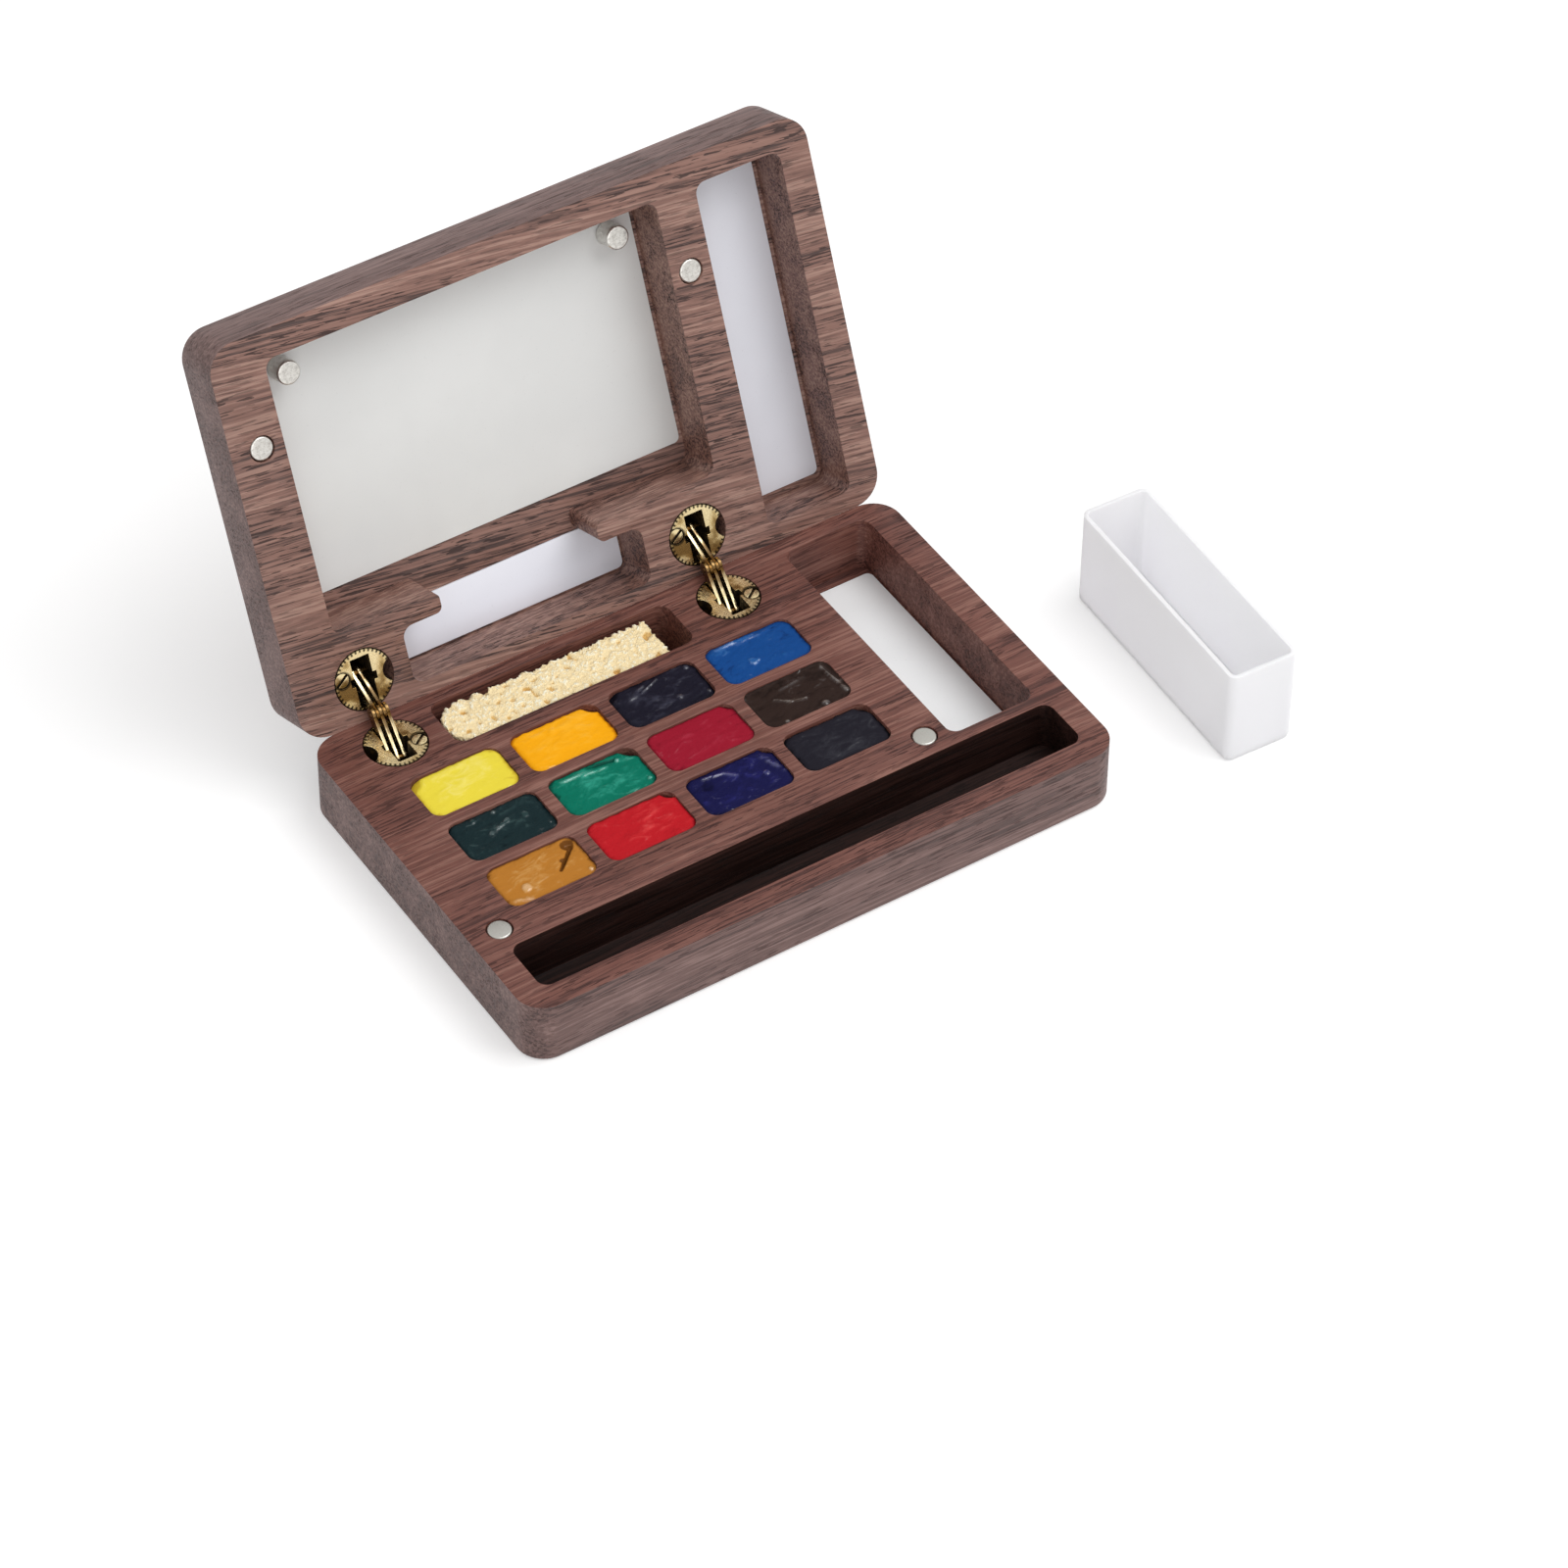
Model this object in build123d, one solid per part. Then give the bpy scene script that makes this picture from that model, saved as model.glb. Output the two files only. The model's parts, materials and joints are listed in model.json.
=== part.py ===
from build123d import *
from math import cos, hypot, pi, radians, sin
import os

# Pocket watercolour box: two milled walnut blocks joined by two brass barrel hinges.
# Millimetres, +Z up, X along the long side, +Y towards the hinges.
# The origin is the centre of the underside of the base block.

# box
box_length = 125.0
box_depth = 78.5
base_height = 13.6
lid_height = 12.2
corner_radius = 5.6
outer_ease = 0.8            # rounding of the outer bottom and top edges; the rims stay crisp
rest_angle = 112.0          # the lid stands open as in use
closing_gap = 0.05          # between the two blocks when the box is shut
seam_gap = 0.05             # between their back faces when the lid lies flat

# paint wells
well_columns = 4
well_rows = 3
well_width = 18.3
well_length = 10.65
well_depth = 9.5
well_pitch_x = 20.9
well_pitch_y = 13.2
first_well_x = -42.7
first_well_y = 16.4         # back row
pocket_radius = 2.2         # cutter radius of every milled pocket
fill_gap = 0.5              # paint surface under the block's face
paint_clearance = 0.05
paint_crown = 1.2           # rounding of a cake's upper edge
paint_names = ["yellow", "amber", "indigo", "blue",
               "pine_green", "emerald", "crimson", "umber",
               "ochre", "red", "ultramarine", "black"]

# slots and deep wells
slot_depth = 10.5
brush_slot_length = 114.6
brush_slot_width = 11.5
brush_slot_y = -28.6
sponge_slot_length = 50.9
sponge_slot_width = 11.45
sponge_slot_x = -13.3
sponge_slot_y = 30.9
sponge_right_gap = 5.3      # bare end of its slot
sponge_clearance = 0.3
sponge_drop = 0.7           # sponge top under the block's face
sponge_crown = 1.6
cup_well_width = 18.3
cup_well_length = 56.4
cup_well_x = 47.1
cup_well_y = 7.7
cup_well_depth = 12.0

# lid pockets
lid_pocket_depth = 10.6
tray_length = 81.4
tray_width = 54.9
tray_x = -11.2
tray_y = -6.15
side_pocket_length = 69.4
side_pocket_y = 1.1
neck_width = 33.5
neck_radius = 1.3           # shoulders between tray and sponge recess

# white plates
plate_thickness = 0.4
plate_radius = 1.2
# gaps to the pocket walls: left, right, front, back
cup_plate_gaps = (0.35, 0.35, 0.4, 2.6)
side_plate_gaps = (0.4, 0.9, 0.4, 1.4)
recess_plate_gaps = (0.4, 0.4, 0.4, 0.4)
mixing_plate_gaps = (1.1, 0.8, 0.8, 4.1)

# magnets
magnet_diameter = 4.6
magnet_bore = 5.0
magnet_height = 4.5
magnet_edge = 0.25          # chamfer
magnet_drop = 0.1           # closure magnets sit this far under the face
magnet_left_x = -56.3
magnet_right_x = 33.6
magnet_y = -18.1
paper_magnet_inset_x = 5.3  # loose magnets, from the mixing plate's corners
paper_magnet_inset_y = 5.6

# barrel hinges
hinge_x = -12.5             # middle between the two hinges
hinge_span = 71.4
barrel_diameter = 12.0
barrel_length = 11.0
barrel_back = 7.75          # barrel axis from the back face
barrel_clearance = 0.05
knurl_teeth = 40
knurl_depth = 0.25
leaf_slot_width = 3.9
leaf_slot_front = 4.5       # slot ends from the barrel axis
leaf_slot_back = 5.3
leaf_slot_depth = 10.6
guide_reach = 2.7           # half length of the guide groove across the slot
slide_pin_diameter = 1.5
slide_pin_length = 5.2
running_clearance = 0.05
leaf_length = 9.259         # between its two pivots
leaf_eye = 2.7              # diameter of its round ends
leaf_waist = 2.2
leaf_thickness = 0.6
leaf_gap = 0.1
base_leaves = 3
lid_leaves = 2
knuckle_pin_diameter = 1.0
knuckle_play = 0.4          # radial play of the lid leaves on the knuckle pin
knuckle_pin_length = 3.5
clamp_screw_x = 4.2
clamp_screw_y = -1.3
screw_head_diameter = 2.8
screw_head_height = 1.1
screw_shank_diameter = 1.5
screw_length = 6.0
screw_slot_width = 0.5
screw_slot_depth = 0.5
screw_slot_turn = 35.0
screw_head_play = 0.1       # radial, in its counterbore
screw_recess_drop = 0.2
rim_notch_x = -6.3          # its centre lies outside the rim, so it is a half moon
rim_notch_y = 0.2
rim_notch_diameter = 4.8
rim_notch_depth = 6.0

# how the hinge's leaves follow the lid, per degree of opening from shut
leaf_start_angle = 104.89   # leaf from the forward direction, box shut
leaf_turn_ratio = 0.2254
slide_start_depth = 8.8     # slide pin under the hinge line, box shut
slide_rise = 0.0411

# loose water cup beside the box
cup_length = 51.6
cup_width = 14.6
cup_height = 21.6
cup_wall = 0.9
cup_corner = 1.8
cup_foot_radius = 1.0
cup_x = 92.3
cup_y = -17.4
cup_turn = -2.35

# places worked out from the sizes above
hinge_line_y = box_depth / 2 + seam_gap / 2
hinge_line_z = base_height + closing_gap / 2
hinge_axis = Axis((0, hinge_line_y, hinge_line_z), (-1, 0, 0))
lid_face = base_height + closing_gap
barrel_y = box_depth / 2 - barrel_back
hinge_sides = {"left": hinge_x - hinge_span / 2, "right": hinge_x + hinge_span / 2}
magnet_sides = {"left": magnet_left_x, "right": magnet_right_x}
leaf_pitch = leaf_thickness + leaf_gap
lid_floor = lid_face + lid_pocket_depth
leaf_angle = leaf_start_angle + leaf_turn_ratio * rest_angle
slide_depth = slide_start_depth - slide_rise * rest_angle

# the pockets' places and sizes: middle x, middle y, width along X, length along Y
brush_slot = (0, brush_slot_y, brush_slot_length, brush_slot_width)
sponge_slot = (sponge_slot_x, sponge_slot_y, sponge_slot_length, sponge_slot_width)
cup_well = (cup_well_x, cup_well_y, cup_well_width, cup_well_length)
side_pocket = (cup_well_x, side_pocket_y, cup_well_width, side_pocket_length)
tray = (tray_x, tray_y, tray_length, tray_width)

parts = {}


def add(name, shape):
    shape.label = name
    parts[name] = shape


def opened(shape):
    """Swing a piece of the shut lid to the open rest pose."""
    return shape.rotate(hinge_axis, rest_angle)


def rounded_block(width, length, height, radius):
    return extrude(RectangleRounded(width, length, radius), height)


def block(height, outer_side):
    """A solid block with rounded corners, standing on z = 0, its outer side's edges eased."""
    solid = rounded_block(box_length, box_depth, height, corner_radius)
    return fillet(solid.faces().sort_by(Axis.Z)[outer_side].edges(), outer_ease)


def pocket(x, y, width, length, low, high, radius=pocket_radius):
    return Pos(x, y, low) * rounded_block(width, length, high - low, radius)


def bore(x, y, diameter, low, high):
    return Pos(x, y, low) * extrude(Circle(diameter / 2), high - low)


def well_places():
    for row in range(well_rows):
        for column in range(well_columns):
            yield first_well_x + column * well_pitch_x, first_well_y - row * well_pitch_y


def base_block():
    top = base_height
    body = block(base_height, outer_side=0)
    for x, y in well_places():
        body -= pocket(x, y, well_width, well_length, top - well_depth, top)
    body -= pocket(*brush_slot, top - slot_depth, top)
    body -= pocket(*sponge_slot, top - slot_depth, top)
    body -= pocket(*cup_well, top - cup_well_depth, top)
    for x in hinge_sides.values():
        body -= bore(x, barrel_y, barrel_diameter + 2 * barrel_clearance, top - barrel_length, top)
    for x in magnet_sides.values():
        body -= bore(x, magnet_y, magnet_bore, top - magnet_drop - magnet_height, top)
    return body


def neck():
    """The passage between tray and sponge recess, with rounded shoulders."""
    tray_back = tray_y + tray_width / 2
    recess_front = sponge_slot_y - sponge_slot_width / 2
    middle = (tray_back + recess_front) / 2
    gap = recess_front - tray_back
    body = Rectangle(neck_width, gap + 2 * neck_radius)
    flare = Rectangle(neck_width + 2 * neck_radius, gap)
    for side in (-1, 1):
        for end in (-1, 1):
            centre = (side * (neck_width / 2 + neck_radius), end * (gap / 2 - neck_radius))
            flare -= Pos(*centre) * Circle(neck_radius)
    for side in (-1, 1):
        plain = gap - 2 * neck_radius
        flare -= Pos(side * (neck_width / 2 + neck_radius / 2), 0) * Rectangle(neck_radius, plain)
    sketch = body + flare
    return Pos(sponge_slot_x, middle, lid_face) * extrude(sketch, lid_pocket_depth)


def lid_block():
    """Built shut, then opened."""
    body = Pos(0, 0, lid_face) * block(lid_height, outer_side=-1)
    body -= pocket(*tray, lid_face, lid_floor)
    body -= pocket(*sponge_slot, lid_face, lid_floor)
    body -= neck()
    body -= pocket(*side_pocket, lid_face, lid_floor)
    for x in hinge_sides.values():
        body -= bore(x, barrel_y, barrel_diameter + 2 * barrel_clearance,
                     lid_face, lid_face + barrel_length)
    for x in magnet_sides.values():
        body -= bore(x, magnet_y, magnet_bore, lid_face, lid_face + magnet_drop + magnet_height)
    return opened(body)


def paint_cake(x, y):
    floor = base_height - well_depth
    width = well_width - 2 * paint_clearance
    length = well_length - 2 * paint_clearance
    cake = rounded_block(width, length, well_depth - fill_gap, pocket_radius - paint_clearance)
    cake = fillet(cake.faces().sort_by(Axis.Z)[-1].edges(), paint_crown)
    return Pos(x, y, floor) * cake


def sponge():
    """Pushed against the left end of its slot, with a gap at the right end."""
    width = sponge_slot_width - 2 * sponge_clearance
    length = sponge_slot_length - sponge_clearance - sponge_right_gap
    left = sponge_slot_x - sponge_slot_length / 2 + sponge_clearance
    strip = rounded_block(length, width, slot_depth - sponge_drop,
                          pocket_radius - sponge_clearance)
    strip = fillet(strip.faces().sort_by(Axis.Z)[-1].edges(), sponge_crown)
    return Pos(left + length / 2, sponge_slot_y, base_height - slot_depth) * strip


def plate_outline(place, gaps):
    """Left, right, front and back edges of a plate laid in a pocket."""
    x, y, width, length = place
    left, right, front, back = gaps
    return (x - width / 2 + left, x + width / 2 - right,
            y - length / 2 + front, y + length / 2 - back)


def plate(place, gaps, low):
    left, right, front, back = plate_outline(place, gaps)
    sheet = rounded_block(right - left, back - front, plate_thickness, plate_radius)
    return Pos((left + right) / 2, (front + back) / 2, low) * sheet


def plates():
    add("cup_plate", plate(cup_well, cup_plate_gaps, base_height - cup_well_depth))
    low = lid_floor - plate_thickness
    add("lid_side_plate", opened(plate(side_pocket, side_plate_gaps, low)))
    add("lid_recess_plate", opened(plate(sponge_slot, recess_plate_gaps, low)))
    add("mixing_plate", opened(plate(tray, mixing_plate_gaps, low)))


def magnet(x, y, low):
    body = extrude(Circle(magnet_diameter / 2), magnet_height)
    body = chamfer(body.edges().filter_by(GeomType.CIRCLE), magnet_edge)
    return Pos(x, y, low) * body


def magnets():
    for side, x in magnet_sides.items():
        add(f"base_magnet_{side}", magnet(x, magnet_y, base_height - magnet_drop - magnet_height))
        add(f"lid_magnet_{side}", opened(magnet(x, magnet_y, lid_face + magnet_drop)))
    low = lid_floor - plate_thickness - magnet_height
    left, right, front, _ = plate_outline(tray, mixing_plate_gaps)
    y = front + paper_magnet_inset_y
    add("paper_magnet_left", opened(magnet(left + paper_magnet_inset_x, y, low)))
    add("paper_magnet_right", opened(magnet(right - paper_magnet_inset_x, y, low)))


def knurled_disc():
    """Barrel outline with a fine V knurl."""
    points = []
    for step in range(2 * knurl_teeth):
        radius = barrel_diameter / 2 - (step % 2) * knurl_depth
        angle = pi * step / knurl_teeth
        points.append((radius * cos(angle), radius * sin(angle)))
    return make_face(Polyline(*points, close=True))


def barrel():
    """A hinge barrel with its face at z = 0, its axis on Z and its body below."""
    body = Pos(0, 0, -barrel_length) * extrude(knurled_disc(), barrel_length)
    slot_middle = (leaf_slot_back - leaf_slot_front) / 2
    slot = Box(leaf_slot_width, leaf_slot_front + leaf_slot_back, leaf_slot_depth,
               align=(Align.CENTER, Align.CENTER, Align.MAX))
    guide_depth = slide_start_depth + slide_pin_diameter / 2 + 2 * running_clearance
    guide = Box(2 * guide_reach, slide_pin_diameter + 2 * running_clearance, guide_depth,
                align=(Align.CENTER, Align.CENTER, Align.MAX))
    body -= Pos(0, slot_middle, 0) * slot
    body -= guide
    head_room = screw_head_diameter + 2 * screw_head_play
    body -= bore(clamp_screw_x, clamp_screw_y, head_room,
                 -screw_recess_drop - screw_head_height, 0)
    body -= bore(clamp_screw_x, clamp_screw_y, screw_shank_diameter + 2 * running_clearance,
                 -screw_recess_drop - screw_length, 0)
    body -= bore(rim_notch_x, rim_notch_y, rim_notch_diameter, -rim_notch_depth, 0)
    return body


def clamp_screw():
    """Cheese head screw, head upwards, its top at z = 0."""
    head = bore(0, 0, screw_head_diameter, -screw_head_height, 0)
    shank = bore(0, 0, screw_shank_diameter, -screw_length, -screw_head_height)
    cut = Box(screw_head_diameter, screw_slot_width, screw_slot_depth,
              align=(Align.CENTER, Align.CENTER, Align.MAX))
    return head + shank - Rot(0, 0, screw_slot_turn) * cut


def barrels():
    """The lid's barrel is the base's turned over, so the screws lie on opposite sides."""
    screw = Pos(clamp_screw_x, clamp_screw_y, -screw_recess_drop) * clamp_screw()
    turned = Rot(0, 180, 0)
    for side, x in hinge_sides.items():
        low = Pos(x, barrel_y, base_height)
        high = Pos(x, barrel_y, lid_face)
        add(f"base_barrel_{side}", low * barrel())
        add(f"base_clamp_screw_{side}", low * screw)
        add(f"lid_barrel_{side}", opened(high * (turned * barrel())))
        add(f"lid_clamp_screw_{side}", opened(high * (turned * screw)))


def leaf(knuckle_bore):
    """A link in the YZ plane, slide pivot at the origin, knuckle along +Z."""
    outline = Rectangle(leaf_waist, leaf_length, align=(Align.CENTER, Align.MIN))
    outline += Circle(leaf_eye / 2)
    outline += Pos(0, leaf_length) * Circle(leaf_eye / 2)
    outline -= Circle(slide_pin_diameter / 2 + running_clearance)
    outline -= Pos(0, leaf_length) * Circle(knuckle_bore / 2)
    sheet = extrude(outline, leaf_thickness / 2, both=True)
    return Plane((0, 0, 0), x_dir=(0, 1, 0), z_dir=(1, 0, 0)) * sheet


def cross_pin(diameter, length):
    return Rot(0, 90, 0) * Cylinder(diameter / 2, length)


def leaf_offsets(count):
    return [(2 * index - count + 1) * leaf_pitch for index in range(count)]


def from_base(shape, x, turn):
    """Place a hinge piece on the base's slide pin, turned with the leaves."""
    return Pos(x, barrel_y, hinge_line_z - slide_depth) * (Rot(turn, 0, 0) * shape)


def from_lid(shape, x, turn):
    """The mirrored place on the shut lid, then opened."""
    return opened(Pos(x, barrel_y, hinge_line_z + slide_depth)
                  * (Rot(180 - turn, 0, 0) * shape))


def linkages():
    lean = leaf_angle - 90
    base_bore = knuckle_pin_diameter + 2 * running_clearance
    lid_bore = knuckle_pin_diameter + 2 * knuckle_play
    knuckle = Pos(0, 0, leaf_length) * cross_pin(knuckle_pin_diameter, knuckle_pin_length)
    slide = cross_pin(slide_pin_diameter, slide_pin_length)
    for side, x in hinge_sides.items():
        add(f"base_slide_pin_{side}", from_base(slide, x, 0))
        add(f"lid_slide_pin_{side}", from_lid(slide, x, 0))
        for index, offset in enumerate(leaf_offsets(base_leaves)):
            add(f"base_leaf_{side}_{index + 1}", from_base(leaf(base_bore), x + offset, -lean))
        for index, offset in enumerate(leaf_offsets(lid_leaves)):
            add(f"lid_leaf_{side}_{index + 1}", from_lid(leaf(lid_bore), x + offset, -lean))
        add(f"knuckle_pin_{side}", from_base(knuckle, x, -lean))


def water_cup():
    outside = rounded_block(cup_width, cup_length, cup_height, cup_corner)
    outside = fillet(outside.faces().sort_by(Axis.Z)[0].edges(), cup_foot_radius)
    hollow = rounded_block(cup_width - 2 * cup_wall, cup_length - 2 * cup_wall,
                           cup_height - cup_wall, cup_corner - cup_wall)
    return Pos(cup_x, cup_y, 0) * (Rot(0, 0, cup_turn) * (outside - Pos(0, 0, cup_wall) * hollow))


add("base_block", base_block())
add("lid_block", lid_block())
for name, (x, y) in zip(paint_names, well_places()):
    add(f"paint_{name}", paint_cake(x, y))
add("sponge", sponge())
plates()
magnets()
barrels()
linkages()
add("water_cup", water_cup())

os.makedirs("parts", exist_ok=True)
for name, shape in parts.items():
    export_step(shape, f"parts/{name}.step")

reach = leaf_length * cos(radians(leaf_angle))
rise = leaf_length * sin(radians(leaf_angle)) - slide_depth
knuckle_forward = hinge_line_y - barrel_y + reach
print(len(parts), "pieces; knuckle", round(hypot(knuckle_forward, rise), 2), "mm from the hinge line")
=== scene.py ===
import json
import math

import bpy
from mathutils import Matrix, Vector, noise

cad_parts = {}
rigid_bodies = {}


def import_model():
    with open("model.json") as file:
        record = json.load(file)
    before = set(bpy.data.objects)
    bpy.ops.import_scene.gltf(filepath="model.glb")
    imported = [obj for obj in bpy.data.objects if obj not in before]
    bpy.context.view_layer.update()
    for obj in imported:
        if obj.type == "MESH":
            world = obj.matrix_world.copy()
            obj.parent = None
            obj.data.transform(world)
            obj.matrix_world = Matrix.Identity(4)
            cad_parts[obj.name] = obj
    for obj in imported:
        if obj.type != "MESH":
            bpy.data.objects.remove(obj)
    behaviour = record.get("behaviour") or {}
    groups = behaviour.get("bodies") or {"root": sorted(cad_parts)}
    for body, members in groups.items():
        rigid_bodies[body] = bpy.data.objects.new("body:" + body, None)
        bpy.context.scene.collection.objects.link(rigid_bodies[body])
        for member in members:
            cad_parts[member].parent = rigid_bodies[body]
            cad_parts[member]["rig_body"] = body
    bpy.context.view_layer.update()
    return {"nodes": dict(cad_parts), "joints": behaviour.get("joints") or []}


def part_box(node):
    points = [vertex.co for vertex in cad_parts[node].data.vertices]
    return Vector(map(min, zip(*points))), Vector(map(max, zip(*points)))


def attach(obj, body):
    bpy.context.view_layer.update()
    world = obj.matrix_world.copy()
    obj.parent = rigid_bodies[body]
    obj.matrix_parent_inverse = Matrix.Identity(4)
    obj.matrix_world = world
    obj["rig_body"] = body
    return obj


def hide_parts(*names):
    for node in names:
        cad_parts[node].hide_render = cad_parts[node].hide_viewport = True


# Looks for the pocket watercolour box: walnut blocks, poured paints, a sponge, enamelled
# plates, magnets, brass hinges and the loose cup. Lengths are in metres; mm turns
# millimetres into them.

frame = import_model()
mm = 0.001
noise.seed_set(11)  # noise vectors are the same each run

# where the lid turns, read from its joint
lidHinge = next(joint for joint in frame["joints"] if joint["name"] == "lid_hinge")
hingePoint = Vector(lidHinge["pos_m"])
openAngle = math.radians(-lidHinge["range_deg"][0])
shutTurn = Matrix.Rotation(openAngle, 3, "X")
sides = ("left", "right")


def deselectAll():
    if bpy.context.object and bpy.context.object.mode != "OBJECT":
        bpy.ops.object.mode_set(mode="OBJECT")
    bpy.ops.object.select_all(action="DESELECT")


def makeActive(piece):
    deselectAll()
    piece.select_set(True)
    bpy.context.view_layer.objects.active = piece


def applyModifiers(piece):
    makeActive(piece)
    for modifier in list(piece.modifiers):
        bpy.ops.object.modifier_apply(modifier=modifier.name)


camera = {
    "azimuth": -33.437,
    "elevation": 45.323,
    "roll": 0.742,
    "distance": 1.1799,
    "target": (0.005386, -0.014869, 0.013597),
    "lens": 150.66,
}


def placeCamera(view):
    a = math.radians(view["azimuth"])
    e = math.radians(view["elevation"])
    r = math.radians(view["roll"])
    back = Vector((math.sin(a) * math.cos(e), -math.cos(a) * math.cos(e), math.sin(e)))
    right = Vector((math.cos(a), math.sin(a), 0))
    up = back.cross(right)
    side = right * math.cos(r) + up * math.sin(r)
    top = up * math.cos(r) - right * math.sin(r)
    bpy.ops.object.camera_add()
    cam = bpy.context.object
    cam.name = "camera"
    turn = Matrix((side, top, back)).transposed().to_4x4()
    cam.matrix_world = Matrix.Translation(Vector(view["target"]) + back * view["distance"]) @ turn
    cam.data.sensor_width = 36
    cam.data.lens = view["lens"]
    cam.data.clip_start = 0.05
    cam.data.clip_end = 50
    bpy.context.scene.camera = cam


deselectAll()
placeCamera(camera)
print("camera placed")


# small helpers for shader nodes
def addNode(tree, kind, inputs=None, **settings):
    made = tree.nodes.new(kind)
    for key, value in settings.items():
        setattr(made, key, value)
    for key, value in (inputs or {}).items():
        if isinstance(value, bpy.types.NodeSocket):
            tree.links.new(value, made.inputs[key])
        else:
            made.inputs[key].default_value = value
    return made


def doMath(tree, operation, a, b=0.0):
    return addNode(tree, "ShaderNodeMath", {0: a, 1: b}, operation=operation).outputs[0]


def times(tree, a, b):
    return doMath(tree, "MULTIPLY", a, b)


def plus(tree, a, b):
    return doMath(tree, "ADD", a, b)


def minus(tree, a, b):
    return doMath(tree, "SUBTRACT", a, b)


def stretch(tree, vector, scale, location=(0, 0, 0), rotation=(0, 0, 0)):
    inputs = {"Vector": vector, "Scale": scale, "Location": location, "Rotation": rotation}
    return addNode(tree, "ShaderNodeMapping", inputs).outputs["Vector"]


def noiseValue(tree, vector, scale=1.0, detail=2.0, roughness=0.5, distortion=0.0):
    inputs = {"Vector": vector, "Scale": scale, "Detail": detail, "Roughness": roughness,
              "Distortion": distortion}
    return addNode(tree, "ShaderNodeTexNoise", inputs).outputs[0]


def between(tree, value, low, high, outLow=0.0, outHigh=1.0):
    inputs = {"Value": value, "From Min": low, "From Max": high,
              "To Min": outLow, "To Max": outHigh}
    made = addNode(tree, "ShaderNodeMapRange", inputs, interpolation_type="SMOOTHSTEP")
    return made.outputs["Result"]


def mixColour(tree, factor, a, b, blend="MIX"):
    made = addNode(tree, "ShaderNodeMix", data_type="RGBA", blend_type=blend)
    for index, value in ((0, factor), (6, a), (7, b)):
        if isinstance(value, bpy.types.NodeSocket):
            tree.links.new(value, made.inputs[index])
        else:
            made.inputs[index].default_value = value
    return made.outputs[2]


def bump(tree, height, distance, strength=1.0):
    inputs = {"Height": height, "Distance": distance, "Strength": strength}
    return addNode(tree, "ShaderNodeBump", inputs).outputs["Normal"]


# values name the Principled shader's own sockets
def newMaterial(name, **values):
    material = bpy.data.materials.new(name)
    material.use_nodes = True
    tree = material.node_tree
    shader = tree.nodes["Principled BSDF"]
    for key, value in values.items():
        shader.inputs[key.replace("_", " ")].default_value = value
    return material, tree, shader


def wire(tree, shader, colour, roughness, normal):
    for socket, value in (("Base Color", colour), ("Roughness", roughness), ("Normal", normal)):
        tree.links.new(value, shader.inputs[socket])


def objectPlace(tree):
    return addNode(tree, "ShaderNodeTexCoord").outputs["Object"]


def newGroup(name, inputs, outputs):
    group = bpy.data.node_groups.new(name, "ShaderNodeTree")
    for label, kind, value in inputs:
        socket = group.interface.new_socket(name=label, in_out="INPUT", socket_type=kind)
        if value is not None:
            socket.default_value = value
    for label, kind in outputs:
        group.interface.new_socket(name=label, in_out="OUTPUT", socket_type=kind)
    given = group.nodes.new("NodeGroupInput").outputs
    result = group.nodes.new("NodeGroupOutput").inputs
    return group, given, result


def placeGroup(tree, group, vector, values):
    made = addNode(tree, "ShaderNodeGroup", {"Vector": vector}, node_tree=group)
    for key, value in values.items():
        made.inputs[key].default_value = value
    return made


# a piece of the lid takes its pattern where it lies with the box shut
def onShutLid(tree, place):
    moved = hingePoint - shutTurn @ hingePoint
    return stretch(tree, place, (1, 1, 1), location=moved, rotation=(openAngle, 0, 0))


# floor, world and lamps
light = {
    "skyOnObject": 0.62,
    "keyPower": 5.3,
    "keySize": 0.7,
    "keyPlace": (0.36, -0.24, 0.92),
    "fillPower": 2.6,
    "fillSize": 0.8,
    "fillPlace": (-0.30, -0.95, 0.40),
    "floorColour": (0.74, 0.74, 0.74, 1),
    "floorPale": (0.76, 0.76, 0.76, 1),
    "floorGlow": 0.36,
    "floorRadius": 6.0,
}


# 1 on rays that show the background: camera, gloss and glass
def seenDirectly(tree):
    path = addNode(tree, "ShaderNodeLightPath").outputs
    seen = doMath(tree, "MAXIMUM", path["Is Camera Ray"], path["Is Glossy Ray"])
    return doMath(tree, "MAXIMUM", seen, path["Is Transmission Ray"])


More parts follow.
